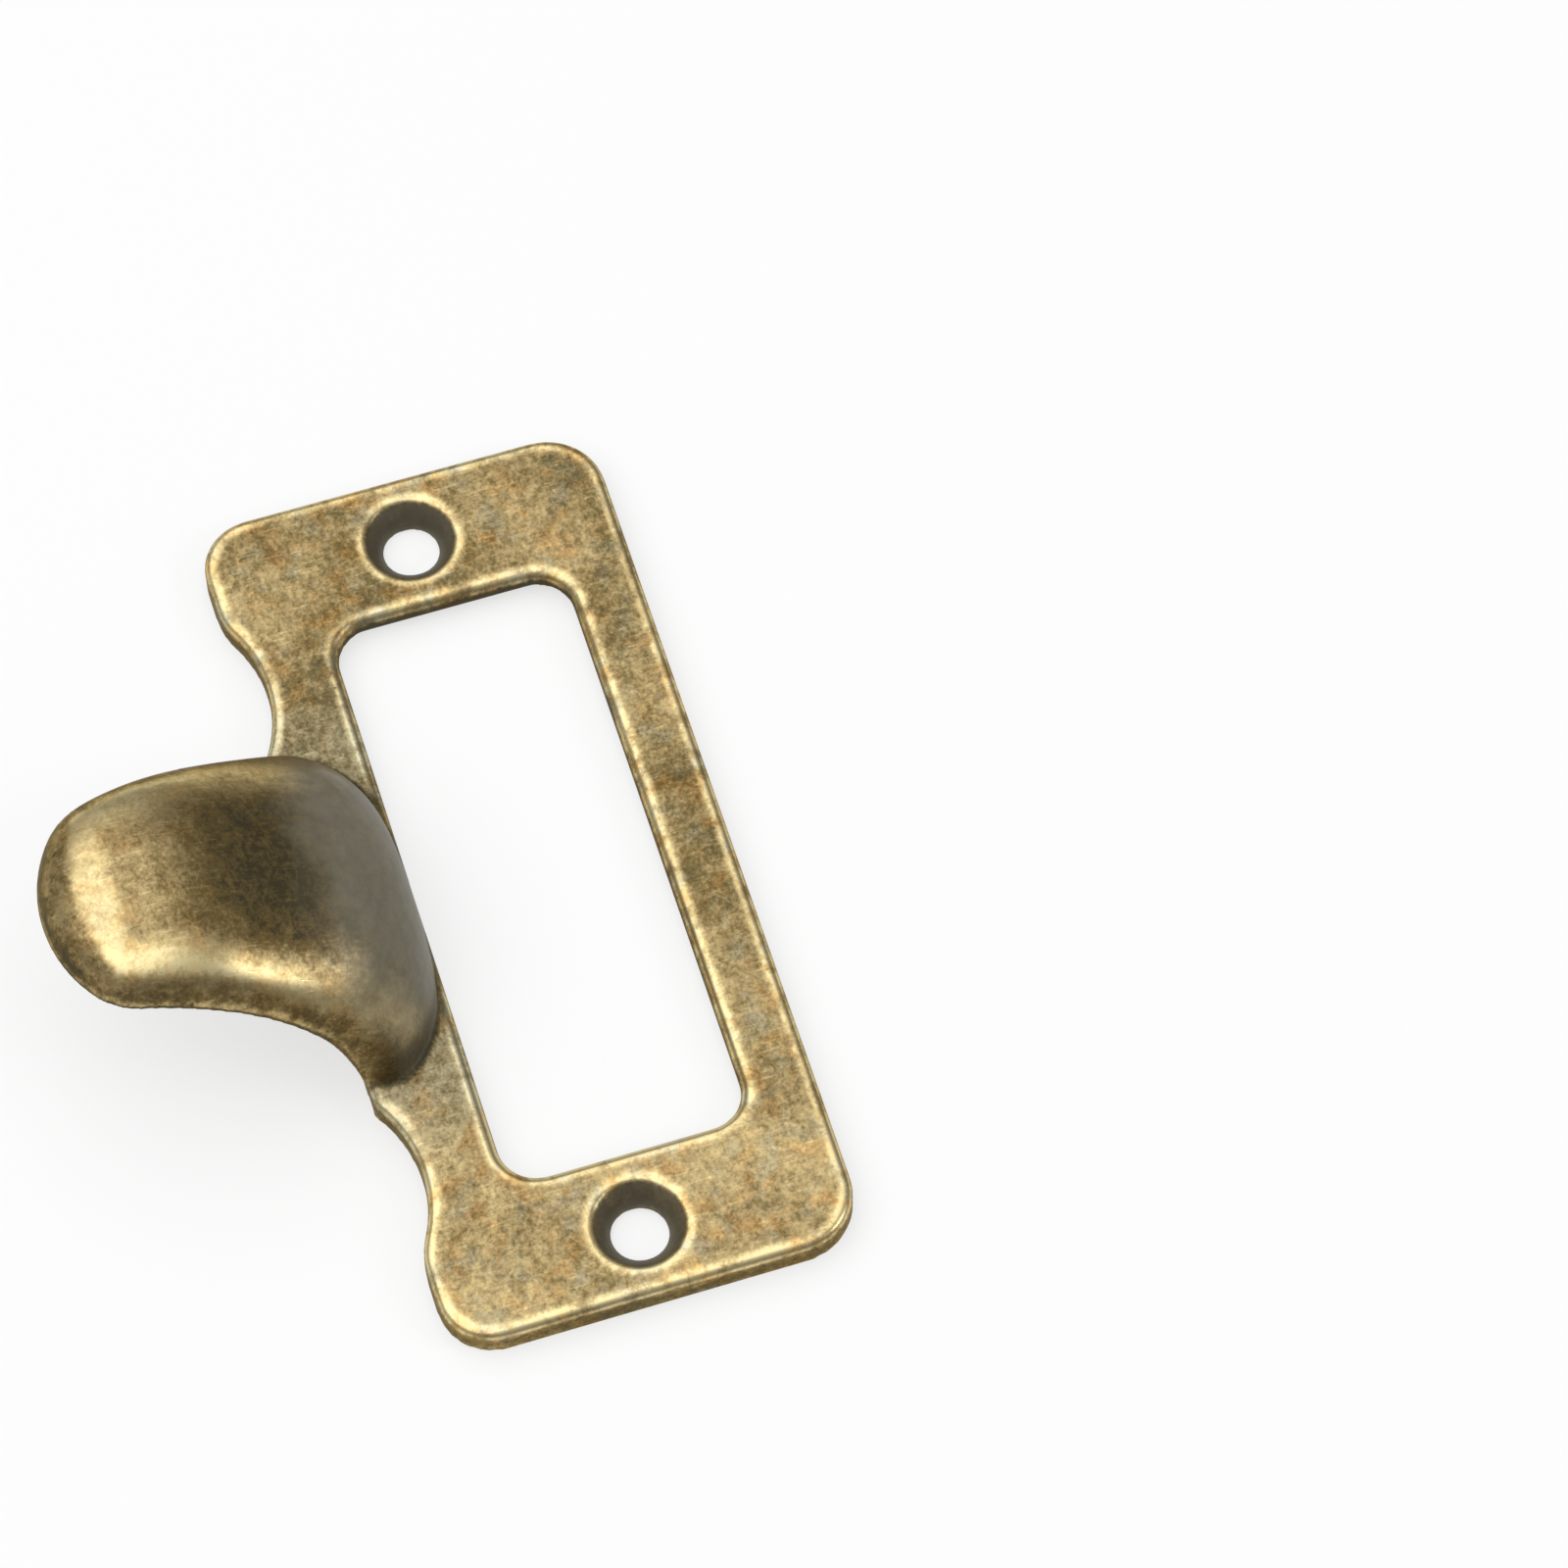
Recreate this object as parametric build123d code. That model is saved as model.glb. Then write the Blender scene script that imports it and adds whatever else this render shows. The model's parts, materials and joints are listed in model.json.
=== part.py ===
from build123d import *
import os
from math import cos, radians, sin, sqrt, tan

# Label holder with a finger pull for a drawer front, cast in one piece. Sizes are in millimetres.
# X runs along the frame, +Y is the side where the card slides in, +Z points away from the drawer.
# The origin lies on the back face, midway between the two screw holes.

# Screw holes, countersunk from the front; their standard spacing sets the length of frame and window
screw_spacing = 64.0
screw_hole_diameter = 4.6
countersink_diameter = 7.6
countersink_angle = 75.0

# Frame
screw_to_frame_end = 6.0
frame_width = 33.8
frame_thickness = 2.7
card_side_corner_radius = 5.0
lobe_corner_radius = 4.4
outer_edge_rounding = 0.8

# Window that shows the card
screw_to_window_end = 6.3
window_width = 19.8
window_shift = 1.2
window_corner_radius = 3.2
window_edge_rounding = 1.1

# Recess for the card in the back, open along the +Y edge
card_recess_depth = 1.0
card_end_lip = 2.2
card_lower_lip = 3.0
card_recess_corner_radius = 3.8

# Finger pull, seen from the front: where it leaves the frame, its flare, its flanks and its tip
pull_root_margin = 0.1
pull_flare_radius = 3.6
pull_flank_taper = 14.3
pull_reach = 21.3
pull_tip_bulge = 3.9
pull_tip_corner_radius = 6.0

# Finger pull, seen from the side: a steep wall on the lower bar, a shoulder, a ramp and a round crest
pull_setback = 0.1
pull_wall_lean = 6.0
pull_shoulder_radius = 10.0
pull_ramp_slope = 24.0
pull_crest_radius = 16.5
pull_height = 20.7
pull_crest_reach = 13.8
pull_rim_wall = 2.4
pull_front_rim_rounding = 3.6
pull_back_rim_rounding = 0.3

# Hollow for the fingertip in the back of the pull
fingertip_hollow_depth = 1.2
fingertip_hollow_crown_radius = 36.0
fingertip_hollow_start_angle = 15.0
fingertip_hollow_tip_margin = 1.2

# Notches between the pull and the rounded lobes at the ends of the lower edge
lobe_width = 8.9
notch_depth = 2.0
notch_blend_radius = 6.0

# Shallow flat behind the root of the pull
root_flat_depth = 0.4
root_flat_end_slant = 1.4
root_flat_margin = 0.4

# Extra length of cutting shapes past the metal they cut
overcut = 2.0

frame_length = screw_spacing + 2 * screw_to_frame_end
window_length = screw_spacing - 2 * screw_to_window_end
lower_edge_y = -frame_width / 2
lobe_x = frame_length / 2 - lobe_width
window_lower_y = window_shift - window_width / 2
card_recess_lower_y = window_lower_y - card_lower_lip
pull_root_y = window_lower_y - pull_setback
pull_tip_y = lower_edge_y - pull_reach
pull_tip_corner_y = pull_tip_y + pull_tip_bulge
pull_crest_y = lower_edge_y - pull_crest_reach

# The ramp ends where the crest begins, and its line meets the line of the steep wall at the shoulder
wall_run = tan(radians(pull_wall_lean))
ramp_rise = tan(radians(pull_ramp_slope))
ramp_end_y = pull_crest_y + pull_crest_radius * sin(radians(pull_ramp_slope))
ramp_end_z = pull_height - pull_crest_radius * (1 - cos(radians(pull_ramp_slope)))
ramp_length_y = pull_root_y + wall_run * frame_thickness - ramp_end_y
shoulder_z = (ramp_end_z - ramp_rise * ramp_length_y) / (1 - ramp_rise * wall_run)
shoulder_y = pull_root_y - wall_run * (shoulder_z - frame_thickness)

# The pull is as wide at its root as the dome is where it runs out on the frame's lower edge
pull_root_height = shoulder_z + ramp_rise * (shoulder_y - lower_edge_y)
pull_root_half_width = sqrt(pull_root_height**2 - frame_thickness**2) + pull_root_margin
notch_width = lobe_x - pull_root_half_width


def pull_flank():
    """Flare and straight flank on the +X side, from the frame's lower edge to the corner of the tip."""
    flare = JernArc((pull_root_half_width, lower_edge_y), (-1, 0), pull_flare_radius, 90 - pull_flank_taper)
    flank_start = flare @ 1
    flank_run = flank_start.Y - pull_tip_corner_y
    tip_corner_x = flank_start.X - flank_run * tan(radians(pull_flank_taper))
    return flare, Line(flank_start, (tip_corner_x, pull_tip_corner_y))


def pull_rim_height():
    """Height of the front surface above the back face at the two corners of the tip."""
    tip_corner_x = (pull_flank()[1] @ 1).X
    past_crest = pull_crest_y - pull_tip_corner_y
    middle_height = pull_height - pull_crest_radius + sqrt(pull_crest_radius**2 - past_crest**2)
    return sqrt(middle_height**2 - tip_corner_x**2)


finger_room_radius = pull_rim_height() - pull_rim_wall
finger_room_y = lower_edge_y - finger_room_radius


def notch_cut(side):
    """Sketch of the shallow round notch beside the pull, on the side +1 or -1 of the middle."""
    notch_radius = (notch_width**2 / 4 + notch_depth**2) / (2 * notch_depth)
    notch_x = side * (lobe_x - notch_width / 2)
    return Pos(notch_x, lower_edge_y + notch_depth - notch_radius) * Circle(notch_radius)


def frame_outline():
    """Outer outline of the frame with its rounded corners and the two notches."""
    outline = Rectangle(frame_length, frame_width)
    card_side = outline.vertices().filter_by(lambda corner: corner.Y > 0)
    outline = fillet(card_side, card_side_corner_radius)
    lobes = outline.vertices().group_by(Axis.Y)[0]
    outline = fillet(lobes, lobe_corner_radius)
    for side in (1, -1):
        outline -= notch_cut(side)
    lobe_ends = outline.vertices().filter_by(
        lambda corner: abs(abs(corner.X) - lobe_x) < 0.01 and abs(corner.Y - lower_edge_y) < 0.01
    )
    return fillet(lobe_ends, notch_blend_radius)


def frame_blank():
    """Flat frame with its window, all front edges rounded over."""
    window = Pos(0, window_shift) * RectangleRounded(window_length, window_width, window_corner_radius)
    blank = extrude(frame_outline(), frame_thickness)
    outer_edges = blank.faces().sort_by(Axis.Z)[-1].edges()
    blank = fillet(outer_edges, outer_edge_rounding)
    blank -= extrude(window, frame_thickness)
    window_edges = blank.faces().sort_by(Axis.Z)[-1].inner_wires()[0].edges()
    return fillet(window_edges, window_edge_rounding)


def pull_plan():
    """Outline of the pull seen from the front, reaching up over the lower bar of the frame."""
    flare, flank = pull_flank()
    tip_corner = flank @ 1
    top_y = pull_root_y + overcut
    top_corner = (pull_root_half_width, top_y)
    root_side = Line(top_corner, (pull_root_half_width, lower_edge_y))
    half = Curve() + [root_side, flare, flank]
    tip = ThreePointArc(tip_corner, (0, pull_tip_y), (-tip_corner.X, tip_corner.Y))
    top = Line(top_corner, (-pull_root_half_width, top_y))
    plan = make_face(half + tip + mirror(half, about=Plane.YZ) + top)
    tip_corners = plan.vertices().filter_by(lambda corner: abs(corner.Y - pull_tip_corner_y) < 0.01)
    return fillet(tip_corners, pull_tip_corner_radius)


def pull_dome():
    """Solid under the domed front: its side profile turned about an axis in the back face."""
    crest_centre = (pull_crest_y, pull_height - pull_crest_radius)
    crest = CenterArc(crest_centre, pull_crest_radius, 90 - pull_ramp_slope, 90 + pull_ramp_slope)
    far_y = (crest @ 1).X
    rest = Polyline(
        crest @ 1,
        (far_y, 0),
        (pull_root_y, 0),
        (pull_root_y, frame_thickness),
        (shoulder_y, shoulder_z),
        crest @ 0,
    )
    side_view = make_face(Curve() + [crest, rest])
    shoulder = side_view.vertices().sort_by_distance((shoulder_y, shoulder_z))[0]
    profile = Plane.YZ * fillet(shoulder, pull_shoulder_radius)
    return Rot(0, -90, 0) * revolve(profile, Axis.Y, 180)


def finger_room():
    """Space behind the pull: a quarter round from the frame's edge, then level to past the tip."""
    quarter = CenterArc((finger_room_y, 0), finger_room_radius, 0, 90)
    far_y = pull_tip_y - overcut
    rest = Polyline(
        (finger_room_y, finger_room_radius),
        (far_y, finger_room_radius),
        (far_y, -overcut),
        (lower_edge_y, -overcut),
        (lower_edge_y, 0),
    )
    side_view = Plane.YZ * make_face(Curve() + [quarter, rest])
    return extrude(side_view, frame_length / 2, both=True)


def fingertip_hollow():
    """Barrel-shaped cutter that dishes the middle of the pull's back and fades out near root and tip."""
    room_arc = CenterArc((finger_room_y, 0), finger_room_radius, 0, 90)
    deep_arc = CenterArc((finger_room_y, 0), finger_room_radius + fingertip_hollow_depth, 0, 90)
    hollow_start = room_arc @ (fingertip_hollow_start_angle / 90)
    hollow_end = (pull_tip_y + fingertip_hollow_tip_margin, finger_room_radius)
    side_arc = ThreePointArc(hollow_start, deep_arc @ 0.5, hollow_end)
    barrel_radius = side_arc.radius
    barrel_axis = side_arc.arc_center
    half_length = pull_root_half_width
    end_drop = fingertip_hollow_crown_radius - sqrt(fingertip_hollow_crown_radius**2 - half_length**2)
    crown = ThreePointArc(
        (-half_length, barrel_radius - end_drop),
        (0, barrel_radius),
        (half_length, barrel_radius - end_drop),
    )
    ends = Polyline(crown @ 1, (half_length, 0), (-half_length, 0), crown @ 0)
    barrel = revolve(make_face(Curve() + [crown, ends]), Axis.X, 360)
    return Pos(0, barrel_axis.X, barrel_axis.Y) * barrel


def pull_blank():
    """Pull still solid behind: the dome trimmed to its outline, with the front of its rim rounded over."""
    dome = pull_dome()
    plan = extrude(pull_plan(), pull_height + overcut)
    blank = dome & plan
    trimmed_edges = new_edges(dome, plan, combined=blank)
    front_rim = trimmed_edges.filter_by(lambda edge: (edge @ 0.5).Z > frame_thickness)
    return fillet(front_rim, pull_front_rim_rounding)


def finger_pull():
    """Pull with its domed front, rolled rim and hollowed back."""
    blank = pull_blank()
    room = finger_room()
    pull = blank - room
    # The straight edge where the room meets the frame lies along X and stays sharp.
    back_rim = new_edges(blank, room, combined=pull).filter_by(Axis.X, reverse=True)
    pull = fillet(back_rim, pull_back_rim_rounding)
    return pull - fingertip_hollow()


def card_recess():
    """Cutter for the card's recess: a shallow pocket that runs out through the +Y edge."""
    pocket_length = window_length + 2 * card_end_lip
    pocket_top = frame_width / 2 + overcut
    pocket_width = pocket_top - card_recess_lower_y
    pocket = Pos(0, (pocket_top + card_recess_lower_y) / 2) * Rectangle(pocket_length, pocket_width)
    pocket = fillet(pocket.vertices().group_by(Axis.Y)[0], card_recess_corner_radius)
    return Pos(0, 0, -overcut) * extrude(pocket, card_recess_depth + overcut)


def root_flat():
    """Cutter for the shallow flat behind the pull's root, with slanting ends."""
    outer_half = pull_root_half_width - root_flat_margin
    inner_half = outer_half - root_flat_end_slant
    flat = Polyline(
        (outer_half, lower_edge_y),
        (inner_half, card_recess_lower_y),
        (-inner_half, card_recess_lower_y),
        (-outer_half, lower_edge_y),
        close=True,
    )
    return Pos(0, 0, -overcut) * extrude(make_face(flat), root_flat_depth + overcut)


def screw_hole():
    """Cutter for one screw: a straight bore with a cone at the front face."""
    bore = Cylinder(screw_hole_diameter / 2, frame_thickness + 2 * overcut)
    cone_depth = (countersink_diameter - screw_hole_diameter) / 2 / tan(radians(countersink_angle / 2))
    cone_bottom = frame_thickness - cone_depth
    cone = Cone(
        screw_hole_diameter / 2,
        countersink_diameter / 2,
        cone_depth,
        align=(Align.CENTER, Align.CENTER, Align.MIN),
    )
    return bore + Pos(0, 0, cone_bottom) * cone


def label_holder():
    """The whole casting."""
    casting = frame_blank() + finger_pull()
    casting -= card_recess()
    casting -= root_flat()
    for side in (1, -1):
        casting -= Pos(side * screw_spacing / 2, 0) * screw_hole()
    return casting


os.makedirs("parts", exist_ok=True)
export_step(label_holder(), "parts/label_holder.step")
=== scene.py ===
import json
from math import radians
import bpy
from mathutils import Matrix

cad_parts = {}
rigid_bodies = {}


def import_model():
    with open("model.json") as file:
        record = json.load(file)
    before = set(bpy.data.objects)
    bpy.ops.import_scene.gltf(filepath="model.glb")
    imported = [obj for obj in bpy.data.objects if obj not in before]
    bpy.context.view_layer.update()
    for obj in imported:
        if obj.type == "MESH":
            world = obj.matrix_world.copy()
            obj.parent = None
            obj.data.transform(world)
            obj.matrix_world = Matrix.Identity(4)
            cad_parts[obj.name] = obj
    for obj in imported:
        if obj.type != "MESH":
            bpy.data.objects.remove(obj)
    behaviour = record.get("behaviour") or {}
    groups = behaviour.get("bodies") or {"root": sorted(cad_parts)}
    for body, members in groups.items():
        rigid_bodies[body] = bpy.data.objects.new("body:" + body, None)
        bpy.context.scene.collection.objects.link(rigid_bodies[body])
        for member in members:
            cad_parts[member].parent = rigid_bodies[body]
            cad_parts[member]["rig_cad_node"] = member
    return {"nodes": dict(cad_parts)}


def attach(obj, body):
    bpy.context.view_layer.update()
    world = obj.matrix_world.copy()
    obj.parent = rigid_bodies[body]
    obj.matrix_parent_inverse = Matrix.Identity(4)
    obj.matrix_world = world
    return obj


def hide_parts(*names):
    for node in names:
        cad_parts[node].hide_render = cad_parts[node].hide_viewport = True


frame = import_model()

from types import SimpleNamespace

import bmesh
import bpy
from mathutils import Matrix, Vector

# A label holder with a finger pull: one casting in antique brass that lies on its back on a white
# table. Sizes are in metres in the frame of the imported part: X along the frame, +Y the side where
# the card goes in, +Z out of the drawer front.

MM = 0.001

# The casting's mesh: size of its cells in millimetres, and over how many of them edges are
# softened, flat faces smoothed, and wear and hollows noticed
CELL = 0.26
MERGE_DISTANCE = 0.0005 * MM
FINISH_STEPS = {
    "Edge softening": 2,
    "Surface smoothing": 60,
    "Wear reach": 16,
    "Crevice reach": 8,
}
EVENNESS_STEPS = 3
NEARLY_FLAT = (0.985, 0.9975)
RUBBED_HEIGHT = (0.010 * MM, 0.075 * MM)
CREVICE_DEPTH = (-0.02 * MM, -0.09 * MM)

# Screw holes and card window, as in the casting
SCREW_X = 32.0 * MM
COUNTERSINK_RADIUS = 3.8 * MM
HOLE_EDGE = (COUNTERSINK_RADIUS + 0.05 * MM, COUNTERSINK_RADIUS - 0.35 * MM)
HOLE_FACING = (-0.8, -0.3)
WINDOW_HALF_LENGTH = 25.7 * MM
WINDOW_HALF_WIDTH = 9.9 * MM
WINDOW_SHIFT = 1.2 * MM
WINDOW_EDGE_REACH = 0.5 * MM

# Zones of the finish. The first two numbers say where a zone begins and where it is full: a place
# on the part, or how far the surface faces along an axis. Two more are its levels there, where
# they aren't 0 and 1.
ABOVE_FRAME_Z = (4.0 * MM, 6.0 * MM)
FRONT_FACING = (-0.05, 0.30)
STEEP_FACING = ((0.72, 0.30), (-0.60, -0.10))
SIDE_WALL_FACING = ((0.35, 0.05), (-0.85, -0.55))
BACK_FACING = (-0.10, -0.60)
RUBBING_GAPS = (0.34, 0.60, 0.30, 1.0)
# How far the pull faces outward, and by that where its painted highlight and painted shade lie
FLANK_TURN = (0.9, -0.12)
BAND_ROOT_Y = (-29.0 * MM, -18.0 * MM)
BAND_ROOT_SHIFT_X = (-8.0 * MM, 8.0 * MM, -0.05, -0.15)
BAND_TIP_SHIFT_Y = (-30.0 * MM, -36.0 * MM, 0.0, 0.10)
SHOULDER_OUTWARD = ((0.05, 0.20), (0.52, 0.33))
ROLL_OUTWARD = (0.30, 0.55)
ROLL_Y = (-16.0 * MM, -24.0 * MM, 0.2, 1.0)
ROLL_FACING = (-0.45, -0.05)
ROOT_SHADE_Y = (-31.0 * MM, -20.0 * MM)
ROOT_SHADE_OUTWARD = (0.30, 0.15)
# The grey film on the wall at the pull's root, partly painted reflection
FILM_WAVE = 5.0 * MM
FILM_Z = (2.72 * MM, 3.0 * MM)
FILM_Y = (-19.5 * MM, -13.5 * MM)
FILM_FACING_Y = (0.10, 0.45)
FILM_X = (15.0 * MM, 8.0 * MM, 0.40, 0.93)
FILM_IN_HOLES = 0.42
# Painted shade on the frame beside the pull's root and on the window's wall
BESIDE_ROOT_X = (26.0 * MM, 15.0 * MM)
BESIDE_ROOT_Y = (-7.0 * MM, -9.5 * MM)
BESIDE_ROOT_Z = (3.2 * MM, 2.8 * MM)
WINDOW_WALL_Z = (2.4 * MM, 1.7 * MM)
CARD_BAR_Y = (10.0 * MM, 12.0 * MM)
CARD_BAR_X = ((-12.0 * MM, 4.0 * MM), (30.0 * MM, 22.0 * MM))

# Thickness of the patina from 0 to 1: its mean, and how much thicker it gets along the part
MEAN_PATINA = 0.51
PATINA_ALONG_X = (30.0 * MM, -20.0 * MM, 0.0, 0.11)
# The painted shade beside the pull's root: lighter at +X, darker toward -X
PATINA_BESIDE_ROOT_X = (15.0 * MM, -15.0 * MM, -0.04, 0.08)

# Tones from rubbed brass to the darkest patina, each with its place on the scale of thickness
PATINA_TONES = (
    (0.05, (0.760, 0.630, 0.335, 1.0)),
    (0.30, (0.530, 0.408, 0.192, 1.0)),
    (0.52, (0.345, 0.258, 0.122, 1.0)),
    (0.72, (0.172, 0.123, 0.046, 1.0)),
    (0.95, (0.058, 0.046, 0.023, 1.0)),
)
ORANGE_TINT = (1.06, 0.90, 0.74, 1.0)
OLIVE_TINT = (0.84, 0.94, 1.16, 1.0)
# Tones of the grey film, partly painted reflection
FILM_TONES = ((0.200, 0.181, 0.130, 1.0), (0.150, 0.137, 0.100, 1.0))
GLOSS_TINT = (0.60, 0.54, 0.42, 1.0)
ROUGHNESS_BY_PATINA = (0.1, 0.9, 0.30, 0.48)
METALLIC_BY_PATINA = (0.50, 1.0, 1.0, 0.60)
RELIEF_STRENGTH = 0.35
RELIEF_HEIGHT = 0.03 * MM

# The table: its half width, its level just under the part, its colour, and how much of it looks
# plain white to the camera
TABLE_HALF_WIDTH = 2.0
TABLE_LEVEL = -0.02 * MM
TABLE_COLOUR = (0.93, 0.93, 0.93, 1.0)
TABLE_PLAIN_WHITE = 0.65
WHITE = (1.0, 1.0, 1.0, 1.0)

# The lamps: where they stand seen from the part, their sizes and powers, and the room's light
LIT_POINT = Vector((0.0, -0.010, 0.0))
LAMP_DISTANCE = 0.75
KEY_DIRECTION = Vector((-0.16, -0.27, 0.95)).normalized()
KEY_SIZE = (1.60, 1.10)
KEY_POWER = 4.7
SIDE_DIRECTION = Vector((0.40, 0.74, 0.53)).normalized()
SIDE_SIZE = (0.32, 0.32)
SIDE_POWER = 0.75
ROOM_LEVEL = (0.10, 0.90, 0.23, 0.66)

# The camera of the photograph: direction from the part, distance, point it looks at and lens
CAMERA_DIRECTION = Vector((0.4392, -0.1393, 0.8876))
CAMERA_DISTANCE = 555.3 * MM
CAMERA_TARGET = Vector((-2.56 * MM, 22.75 * MM, 0.0))
CAMERA_LENS = 157.9
SENSOR_WIDTH = 36.0
CLIP_NEAR, CLIP_FAR = 0.01, 20.0

spare_objects = [
    thing for thing in bpy.data.objects
    if thing.type in {"MESH", "LIGHT", "CAMERA"} and "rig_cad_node" not in thing
]
for spare in spare_objects:
    bpy.data.objects.remove(spare)
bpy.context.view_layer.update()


class Nodes:
    """Builds a node tree: makes nodes, sets their values and links their inputs."""

    def __init__(self, tree):
        self.tree = tree

    def add(self, kind, settings=None, **inputs):
        """A new node. Its inputs go by name, with _ for a blank, or by number as n0, n1, n2."""
        node = self.tree.nodes.new(kind)
        for name, value in (settings or {}).items():
            setattr(node, name, value)
        for name, value in inputs.items():
            by_number = name[0] == "n" and name[1:].isdigit()
            socket = node.inputs[int(name[1:]) if by_number else name.replace("_", " ")]
            self.put(socket, value)
        return node

    def put(self, socket, value):
        """Links an input to another node's output, or sets its value."""
        if isinstance(value, bpy.types.NodeSocket):
            self.tree.links.new(value, socket)
        else:
            socket.default_value = value

    def maths(self, operation, first, second=0.0, third=0.0, clamp=False):
        settings = {"operation": operation, "use_clamp": clamp}
        return self.add("ShaderNodeMath", settings, n0=first, n1=second, n2=third).outputs[0]

    def product(self, first, *others):
        """All values multiplied."""
        for other in others:
            first = self.maths("MULTIPLY", first, other)
        return first

    def added(self, value, amount, total, clamp=False):
        """Total plus a value times an amount."""
        return self.maths("MULTIPLY_ADD", value, amount, total, clamp)

    def without(self, zone, share):
        """1 outside a zone, less by a share inside it."""
        return self.added(zone, -share, 1.0)

    def vector(self, operation, first, second=(0.0, 0.0, 0.0)):
        node = self.add("ShaderNodeVectorMath", {"operation": operation}, n0=first, n1=second)
        return node.outputs["Value" if operation in {"LENGTH", "DOT_PRODUCT"} else "Vector"]

    def axes(self, value):
        """A vector's three parts."""
        return self.add("ShaderNodeSeparateXYZ", n0=value).outputs

    def ramp(self, value, low, high, to_low=0.0, to_high=1.0):
        """Value mapped smoothly from low..high to to_low..to_high."""
        node = self.add("ShaderNodeMapRange", {"interpolation_type": "SMOOTHSTEP"}, Value=value)
        limits = {"From Min": low, "From Max": high, "To Min": to_low, "To Max": to_high}
        for name, number in limits.items():
            node.inputs[name].default_value = number
        return node.outputs["Result"]

    def between(self, value, rise, fall):
        """A zone that a value enters by one pair of limits and leaves by another."""
        return self.product(self.ramp(value, *rise), self.ramp(value, *fall))

    def attribute(self, name, output="Fac"):
        return self.add("ShaderNodeAttribute", {"attribute_name": name}).outputs[output]

    def noise(self, place, scale, detail, roughness=0.6, distortion=0.0):
        node = self.add("ShaderNodeTexNoise", Vector=place, Scale=scale, Detail=detail,
                        Roughness=roughness, Distortion=distortion)
        return node.outputs["Fac"]

    def mix(self, first, second, amount, blend="MIX"):
        """Two colours mixed by an amount."""
        settings = {"data_type": "RGBA", "blend_type": blend}
        node = self.add("ShaderNodeMix", settings, Factor=amount)
        colours = [s for s in node.inputs if s.type == "RGBA"]
        for socket, colour in zip(colours, (first, second)):
            self.put(socket, colour)
        return next(s for s in node.outputs if s.type == "RGBA")


def casting_finish_tree():
    """Geometry nodes that soften the casting's edges and note where it is rubbed or stays dark."""
    tree = bpy.data.node_groups.new("casting_finish", "GeometryNodeTree")
    face = tree.interface
    face.new_socket("Geometry", in_out="INPUT", socket_type="NodeSocketGeometry")
    for name in FINISH_STEPS:
        face.new_socket(name, in_out="INPUT", socket_type="NodeSocketInt")
    face.new_socket("Finish", in_out="INPUT", socket_type="NodeSocketMaterial")
    face.new_socket("Geometry", in_out="OUTPUT", socket_type="NodeSocketGeometry")
    kit = Nodes(tree)
    given = kit.add("NodeGroupInput").outputs

    def blur(value, steps, weight=1.0):
        node = kit.add("GeometryNodeBlurAttribute", {"data_type": "FLOAT_VECTOR"},
                       Iterations=steps, Weight=weight)
        kit.put(next(s for s in node.inputs if s.name == "Value" and s.type == "VECTOR"), value)
        return next(s for s in node.outputs if s.type == "VECTOR")

    def moved(geometry, place):
        return kit.add("GeometryNodeSetPosition", Geometry=geometry, Position=place).outputs[0]

    def stored(geometry, name, value, kind="FLOAT"):
        settings = {"data_type": kind, "domain": "POINT"}
        node = kit.add("GeometryNodeStoreNamedAttribute", settings,
                       Geometry=geometry, Name=name, Value=value)
        return node.outputs["Geometry"]

    # All edges are softened a little, then only what is nearly flat is smoothed further.
    position = kit.add("GeometryNodeInputPosition").outputs[0]
    normal = kit.add("GeometryNodeInputNormal").outputs[0]
    soft = moved(given["Geometry"], blur(position, given["Edge softening"]))
    evenness = kit.vector("LENGTH", blur(normal, EVENNESS_STEPS))
    nearly_flat = kit.ramp(evenness, *NEARLY_FLAT)
    smooth = moved(soft, blur(position, given["Surface smoothing"], nearly_flat))

    # A point that stands out from its surroundings is rubbed, one that lies in is left dark.
    def standing_out(steps):
        offset = kit.vector("SUBTRACT", position, blur(position, steps))
        return kit.vector("DOT_PRODUCT", offset, normal)

    rubbed = kit.ramp(standing_out(given["Wear reach"]), *RUBBED_HEIGHT)
    crevice = kit.ramp(standing_out(given["Crevice reach"]), *CREVICE_DEPTH)

    # The screw holes keep their dark patina up to the countersink's rim, but not on the back.
    x, y, _ = kit.axes(position)
    from_hole = kit.maths("SUBTRACT", kit.maths("ABSOLUTE", x), SCREW_X)
    squares = kit.maths("ADD", kit.product(from_hole, from_hole), kit.product(y, y))
    across = kit.maths("SQRT", squares)
    off_the_back = kit.ramp(kit.axes(normal)[2], *HOLE_FACING)
    screw_hole = kit.product(kit.ramp(across, *HOLE_EDGE), off_the_back)

    result = stored(smooth, "rubbed", rubbed)
    result = stored(result, "crevice", crevice)
    result = stored(result, "screw_hole", screw_hole)
    result = stored(result, "facing", normal, "FLOAT_VECTOR")
    result = kit.add("GeometryNodeSetShadeSmooth", Geometry=result).outputs[0]
    result = kit.add("GeometryNodeRealizeInstances", Geometry=result).outputs[0]
    finished = kit.add("GeometryNodeSetMaterial", Geometry=result, Material=given["Finish"])
    kit.put(kit.add("NodeGroupOutput").inputs["Geometry"], finished.outputs[0])
    return tree


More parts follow.
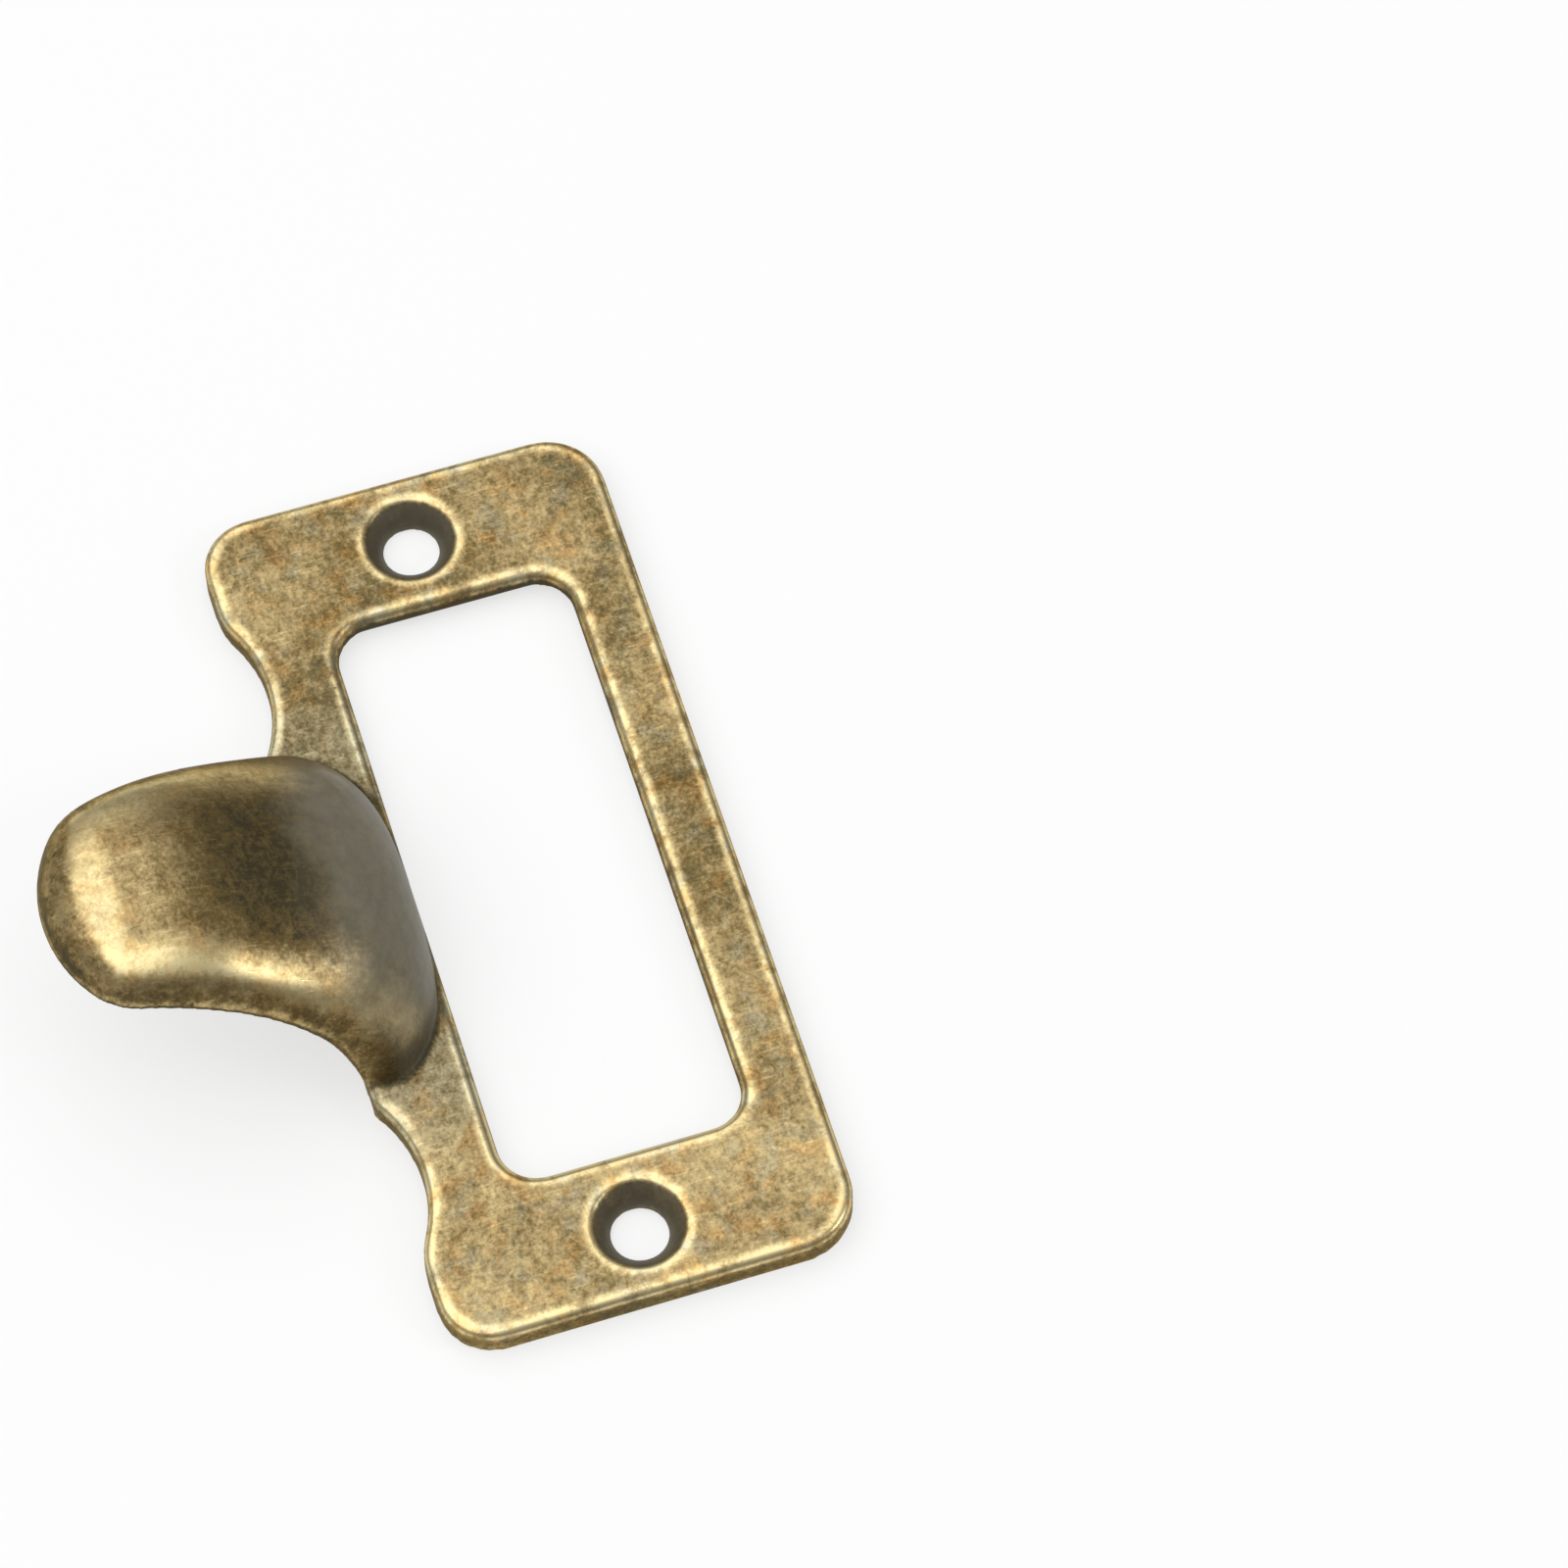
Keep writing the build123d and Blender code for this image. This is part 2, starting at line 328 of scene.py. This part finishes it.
def finish_zones(kit, place, facing):
    """Where on the part the finish differs, and where light and shade are painted, each zone from 0
    to 1.
    """
    x, y, z = kit.axes(place)
    from_middle = kit.maths("ABSOLUTE", x)
    zones = SimpleNamespace()
    zones.crevice = kit.attribute("crevice")
    zones.screw_hole = kit.attribute("screw_hole")

    # What faces the sides or the back, and the two faces of the pull
    zones.steep = kit.between(facing[2], *STEEP_FACING)
    zones.back = kit.ramp(facing[2], *BACK_FACING)
    side_wall = kit.between(facing[2], *SIDE_WALL_FACING)
    zones.above_frame = kit.ramp(z, *ABOVE_FRAME_Z)
    on_pull = kit.product(zones.above_frame, kit.ramp(facing[2], *FRONT_FACING))
    under_pull = kit.maths("SUBTRACT", zones.above_frame, on_pull)

    # Rubbed edges, broken here and there and weak behind the pull and low on the side walls
    zones.rubbed = kit.product(
        kit.attribute("rubbed"),
        kit.without(under_pull, 0.8),
        kit.ramp(kit.noise(place, 520.0, 5.0, 0.7), *RUBBING_GAPS),
        kit.without(side_wall, 0.75),
    )

    # The pull's painted highlight on its shoulder and painted shade on its rolled rim, told apart
    # by how far it faces outward:
    # toward the root the highlight band lies further out on the flanks, and at the tip further in.
    turned_flank = kit.added(kit.maths("ABSOLUTE", facing[0]), *FLANK_TURN)
    outward = kit.maths("MAXIMUM", kit.maths("MULTIPLY", facing[1], -1.0), turned_flank)
    outward = kit.added(kit.ramp(y, *BAND_ROOT_Y), kit.ramp(x, *BAND_ROOT_SHIFT_X), outward)
    outward = kit.maths("ADD", outward, kit.ramp(y, *BAND_TIP_SHIFT_Y))
    zones.shoulder = kit.product(kit.between(outward, *SHOULDER_OUTWARD), on_pull)
    zones.roll = kit.product(
        kit.ramp(outward, *ROLL_OUTWARD),
        zones.above_frame,
        kit.ramp(y, *ROLL_Y),
        kit.ramp(facing[2], *ROLL_FACING),
    )
    # Painted shade on the pull toward its root, where it doesn't face far outward
    zones.root_shade = kit.product(
        on_pull, kit.ramp(y, *ROOT_SHADE_Y), kit.ramp(outward, *ROOT_SHADE_OUTWARD)
    )

    # The grey film on the wall at the pull's root, partly painted reflection, with a wavy edge, and
    # thinner in the screw holes
    wave = kit.maths("SUBTRACT", kit.noise(place, 240.0, 3.0), 0.5)
    film = kit.product(
        kit.ramp(z, *FILM_Z),
        kit.ramp(kit.added(wave, FILM_WAVE, y), *FILM_Y),
        kit.ramp(facing[1], *FILM_FACING_Y),
        kit.ramp(from_middle, *FILM_X),
    )
    zones.film = kit.maths("MAXIMUM", film, kit.product(zones.screw_hole, FILM_IN_HOLES))

    # Painted shade on the frame beside the root and on the wall of the window, and the bar over
    # which the card goes in
    zones.beside_root = kit.product(
        kit.ramp(from_middle, *BESIDE_ROOT_X),
        kit.ramp(y, *BESIDE_ROOT_Y),
        kit.ramp(z, *BESIDE_ROOT_Z),
    )
    from_window = kit.maths("ABSOLUTE", kit.maths("SUBTRACT", y, WINDOW_SHIFT))
    zones.window_wall = kit.product(
        kit.ramp(from_middle, WINDOW_HALF_LENGTH + WINDOW_EDGE_REACH, WINDOW_HALF_LENGTH),
        kit.ramp(from_window, WINDOW_HALF_WIDTH + WINDOW_EDGE_REACH, WINDOW_HALF_WIDTH),
        kit.ramp(z, *WINDOW_WALL_Z),
    )
    bar_start, bar_end = CARD_BAR_X
    zones.card_bar = kit.product(
        kit.ramp(y, *CARD_BAR_Y), kit.ramp(x, *bar_start), kit.ramp(x, *bar_end)
    )
    return zones


def surface_grain(kit, place):
    """The patina's unevenness: slow drift, cloudy mottling, fine grain and short scratches."""

    def scratches(turn, stretch, begin, full):
        turned = kit.add("ShaderNodeMapping", Vector=place, Rotation=(0.0, 0.0, radians(turn)),
                         Scale=stretch)
        return kit.ramp(kit.noise(turned.outputs["Vector"], 1.0, 2.0, 0.5), begin, full)

    return SimpleNamespace(
        drift=kit.noise(place, 90.0, 2.0),
        mottle=kit.noise(place, 820.0, 6.0, 0.64, distortion=0.3),
        speckle=kit.noise(place, 1800.0, 4.0, 0.7),
        fine=kit.noise(place, 3400.0, 3.0, 0.7),
        scratches=kit.maths(
            "MAXIMUM",
            scratches(24.0, (5200.0, 420.0, 900.0), 0.60, 0.74),
            scratches(-58.0, (4600.0, 380.0, 900.0), 0.62, 0.76),
        ),
    )


def patina_thickness(kit, place, zones, grain):
    """How thick the patina is, from 0 on rubbed brass to 1 in the hollows, with painted highlight
    and shade added.
    """
    x = kit.axes(place)[0]
    patina = kit.added(kit.maths("SUBTRACT", grain.drift, 0.5), 0.5, MEAN_PATINA)
    patina = kit.maths("ADD", kit.ramp(x, *PATINA_ALONG_X), patina)
    for texture, amount in ((grain.mottle, 0.6), (grain.speckle, 0.55), (grain.fine, 0.5)):
        patina = kit.added(kit.maths("SUBTRACT", texture, 0.5), amount, patina)

    # Surfaces that face the sides or the back were brushed less; the pull is given painted shade
    # near its root and on its rolled rim and a painted highlight on its shoulder, and the frame
    # painted shade beside the root and on the window's wall.
    layers = (
        (grain.scratches, -0.12),
        (zones.steep, 0.20),
        (zones.back, 0.14),
        (zones.root_shade, 0.25),
        (zones.shoulder, -0.36),
        (zones.roll, 0.20),
        (zones.beside_root, kit.ramp(x, *PATINA_BESIDE_ROOT_X)),
        (zones.window_wall, 0.26),
        (zones.card_bar, 0.07),
        (zones.rubbed, -0.56),
        (zones.crevice, 0.40),
    )
    for zone, amount in layers:
        patina = kit.added(zone, amount, patina)
    return kit.added(zones.screw_hole, 0.38, patina, clamp=True)


def patina_colour(kit, place, patina, zones, grain):
    """The patina's colour: its tone by thickness, orange and olive patches, and the grey film."""
    tones = kit.add("ShaderNodeValToRGB", Fac=patina)
    elements = tones.color_ramp.elements
    while len(elements) < len(PATINA_TONES):
        elements.new(0.5)
    for element, (at, tone) in zip(elements, PATINA_TONES):
        element.position = at
        element.color = tone

    # Patches lean to orange brown or to grey olive, less on the pull; the frame beside the pull's
    # root, under its painted shade, and the whole back are olive.
    orange = kit.ramp(kit.noise(place, 420.0, 3.0), 0.48, 0.70)
    orange = kit.product(orange, kit.without(zones.above_frame, 0.45))
    olive = kit.ramp(kit.noise(place, 330.0, 4.0, 0.7), 0.48, 0.66)
    olive = kit.maths("MAXIMUM", olive, zones.beside_root)
    olive = kit.product(olive, kit.without(zones.above_frame, 0.7))
    olive = kit.maths("MAXIMUM", olive, zones.back)
    colour = kit.mix(tones.outputs["Color"], ORANGE_TINT, orange, "MULTIPLY")
    colour = kit.mix(colour, OLIVE_TINT, olive, "MULTIPLY")

    film_colour = kit.mix(*FILM_TONES, kit.ramp(grain.mottle, 0.30, 0.70))
    return kit.mix(colour, film_colour, zones.film)


def antique_brass():
    """Brass with a brown patina: mottled and scratched, rubbed bright, dark in its hollows, with
    painted highlight and shade on the pull and painted shade beside it.
    """
    material = bpy.data.materials.new("antique_brass")
    material.use_nodes = True
    tree = material.node_tree
    tree.nodes.clear()
    kit = Nodes(tree)
    place = kit.add("ShaderNodeTexCoord").outputs["Object"]
    facing = kit.axes(kit.attribute("facing", "Vector"))
    zones = finish_zones(kit, place, facing)
    grain = surface_grain(kit, place)
    patina = patina_thickness(kit, place, zones, grain)

    # Thick patina is duller and less metallic than the brass under it, and the film, partly painted
    # reflection, is even.
    roughness = kit.ramp(patina, *ROUGHNESS_BY_PATINA)
    metallic = kit.added(zones.film, -0.60, kit.ramp(patina, *METALLIC_BY_PATINA), clamp=True)
    height = kit.added(grain.fine, 0.6, kit.product(grain.mottle, 0.8))
    height = kit.added(grain.scratches, -0.35, height)
    height = kit.product(height, kit.without(zones.film, 0.7))
    bump = kit.add("ShaderNodeBump", Height=height,
                   Strength=RELIEF_STRENGTH, Distance=RELIEF_HEIGHT)
    shader = kit.add("ShaderNodeBsdfPrincipled", Metallic=metallic, Roughness=roughness,
                     Base_Color=patina_colour(kit, place, patina, zones, grain),
                     Specular_Tint=GLOSS_TINT, Normal=bump.outputs["Normal"])
    kit.add("ShaderNodeOutputMaterial", Surface=shader.outputs["BSDF"])
    return material


def casting(node_name, material):
    """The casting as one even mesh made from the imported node, with its finish noted on it."""
    mesh = frame["nodes"][node_name].data.copy()
    joined = bmesh.new()
    joined.from_mesh(mesh)
    bmesh.ops.remove_doubles(joined, verts=joined.verts, dist=MERGE_DISTANCE)
    joined.to_mesh(mesh)
    joined.free()

    # The cells are made in millimetres, where the remesher works well, and brought back to metres.
    mesh.transform(Matrix.Scale(1 / MM, 4))
    piece = bpy.data.objects.new("label_holder_casting", mesh)
    bpy.context.scene.collection.objects.link(piece)
    even = piece.modifiers.new("even_cells", "REMESH")
    even.mode = "VOXEL"
    even.voxel_size = CELL
    bake_modifiers(piece)
    piece.data.transform(Matrix.Scale(MM, 4))

    finish = piece.modifiers.new("casting_finish", "NODES")
    finish.node_group = casting_finish_tree()
    sockets = finish.node_group.interface.items_tree
    identifiers = {s.name: s.identifier for s in sockets if s.in_out == "INPUT"}
    for name, steps in FINISH_STEPS.items():
        finish[identifiers[name]] = steps
    finish[identifiers["Finish"]] = material
    bake_modifiers(piece)
    return piece


def bake_modifiers(piece):
    """Turns a piece with its modifiers into a plain mesh."""
    bpy.context.view_layer.update()
    layers = bpy.context.evaluated_depsgraph_get()
    baked = bpy.data.meshes.new_from_object(
        piece.evaluated_get(layers), preserve_all_data_layers=True, depsgraph=layers
    )
    piece.modifiers.clear()
    piece.data = baked


def table():
    """A wide white table, seen through from below so that the back can be looked at."""
    half = TABLE_HALF_WIDTH
    outline = ((-half, -half), (half, -half), (half, half), (-half, half))
    corners = [(x, y, TABLE_LEVEL) for x, y in outline]
    mesh = bpy.data.meshes.new("table")
    mesh.from_pydata(corners, [], [(0, 1, 2, 3)])
    top = bpy.data.objects.new("table", mesh)
    bpy.context.scene.collection.objects.link(top)

    material = bpy.data.materials.new("white_table")
    material.use_nodes = True
    tree = material.node_tree
    tree.nodes.clear()
    kit = Nodes(tree)
    matte = kit.add("ShaderNodeBsdfDiffuse", Color=TABLE_COLOUR)
    white = kit.add("ShaderNodeEmission", Color=WHITE, Strength=1.0)
    rays = kit.add("ShaderNodeLightPath").outputs
    mirrored = kit.maths("MAXIMUM", rays["Is Glossy Ray"], rays["Is Transmission Ray"])
    seen = kit.maths("MAXIMUM", rays["Is Camera Ray"], mirrored)
    paler = kit.add("ShaderNodeMixShader", n0=kit.product(seen, TABLE_PLAIN_WHITE),
                    n1=matte.outputs[0], n2=white.outputs[0])
    clear = kit.add("ShaderNodeBsdfTransparent")
    below = kit.add("ShaderNodeNewGeometry").outputs["Backfacing"]
    mixed = kit.add("ShaderNodeMixShader", n0=below, n1=paler.outputs[0], n2=clear.outputs[0])
    kit.add("ShaderNodeOutputMaterial", Surface=mixed.outputs[0])
    mesh.materials.append(material)


def lamp(name, direction, size, power):
    """An oval soft box that points at the part, with its length along X."""
    light = bpy.data.lights.new(name, "AREA")
    light.shape = "ELLIPSE"
    light.size, light.size_y = size
    light.energy = power
    holder = bpy.data.objects.new(name, light)
    holder.location = LIT_POINT + LAMP_DISTANCE * direction
    holder.rotation_euler = (-direction).to_track_quat("-Z", "Y").to_euler()
    bpy.context.scene.collection.objects.link(holder)


def studio():
    """A large soft box over the part, a small one beside it, and a room darker at its sides."""
    lamp("soft_box", KEY_DIRECTION, KEY_SIZE, KEY_POWER)
    lamp("side_lamp", SIDE_DIRECTION, SIDE_SIZE, SIDE_POWER)
    world = bpy.data.worlds.new("studio_room")
    bpy.context.scene.world = world
    world.use_nodes = True
    tree = world.node_tree
    tree.nodes.clear()
    kit = Nodes(tree)
    direction = kit.add("ShaderNodeTexCoord").outputs["Generated"]
    level = kit.ramp(kit.vector("DOT_PRODUCT", direction, KEY_DIRECTION), *ROOM_LEVEL)
    background = kit.add("ShaderNodeBackground", Color=WHITE, Strength=level)
    kit.add("ShaderNodeOutputWorld", Surface=background.outputs[0])


def camera():
    """The photograph's camera."""
    lens = bpy.data.cameras.new("camera")
    lens.lens = CAMERA_LENS
    lens.sensor_width = SENSOR_WIDTH
    lens.clip_start = CLIP_NEAR
    lens.clip_end = CLIP_FAR
    holder = bpy.data.objects.new("camera", lens)
    holder.location = CAMERA_TARGET + CAMERA_DISTANCE * CAMERA_DIRECTION.normalized()
    holder.rotation_euler = (-CAMERA_DIRECTION).to_track_quat("-Z", "Y").to_euler()
    bpy.context.scene.collection.objects.link(holder)
    bpy.context.scene.camera = holder


holder_piece = casting("label_holder", antique_brass())
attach(holder_piece, "root")
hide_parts("label_holder")

table()
studio()
camera()
bpy.context.scene.view_settings.view_transform = "Standard"
